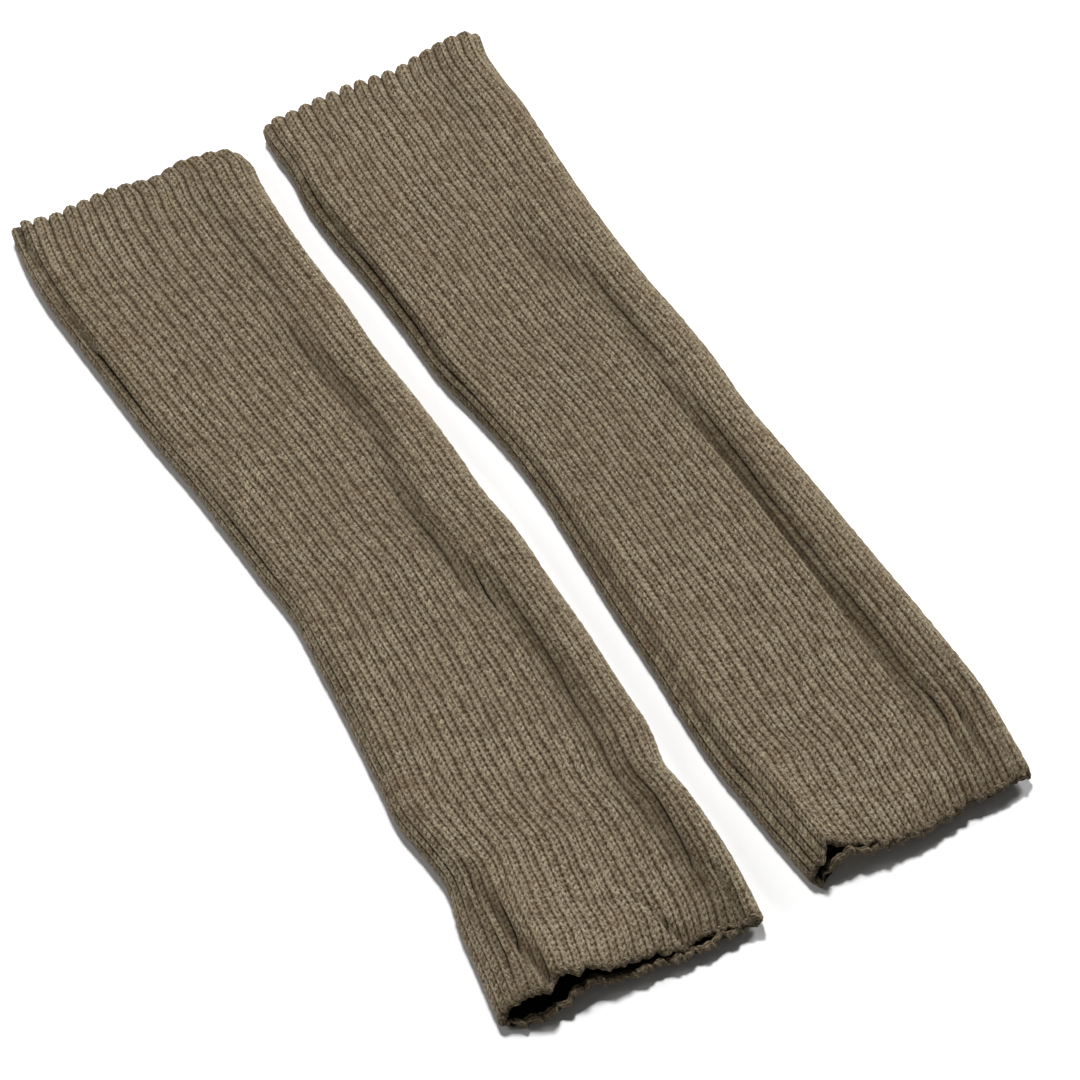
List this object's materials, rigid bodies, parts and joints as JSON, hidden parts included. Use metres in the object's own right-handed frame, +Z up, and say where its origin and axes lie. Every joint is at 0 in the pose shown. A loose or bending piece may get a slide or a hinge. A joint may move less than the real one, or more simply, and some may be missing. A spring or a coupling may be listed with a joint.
{
  "type": "pair of knitted leg warmers",
  "caption": "Footless ribbed wool leg warmers: knitted tubes open at both ends, laid flat side by side.",
  "frame": {"origin": "on the surface that the pair lies on, under the middle of the pair's bounding box", "axes": "+Z up from the surface, +Y along the tubes towards the mouths that lie further from the viewer, +X across the pair to the viewer's right"},
  "size_m": [0.22, 0.4356, 0.0159],
  "materials": {
    "rib_knit": "matt taupe wool, rib knit"
  },
  "bodies": {
    "root": {"left_leg_warmer": "rib_knit", "right_leg_warmer": "rib_knit"}
  },
  "joints": []
}
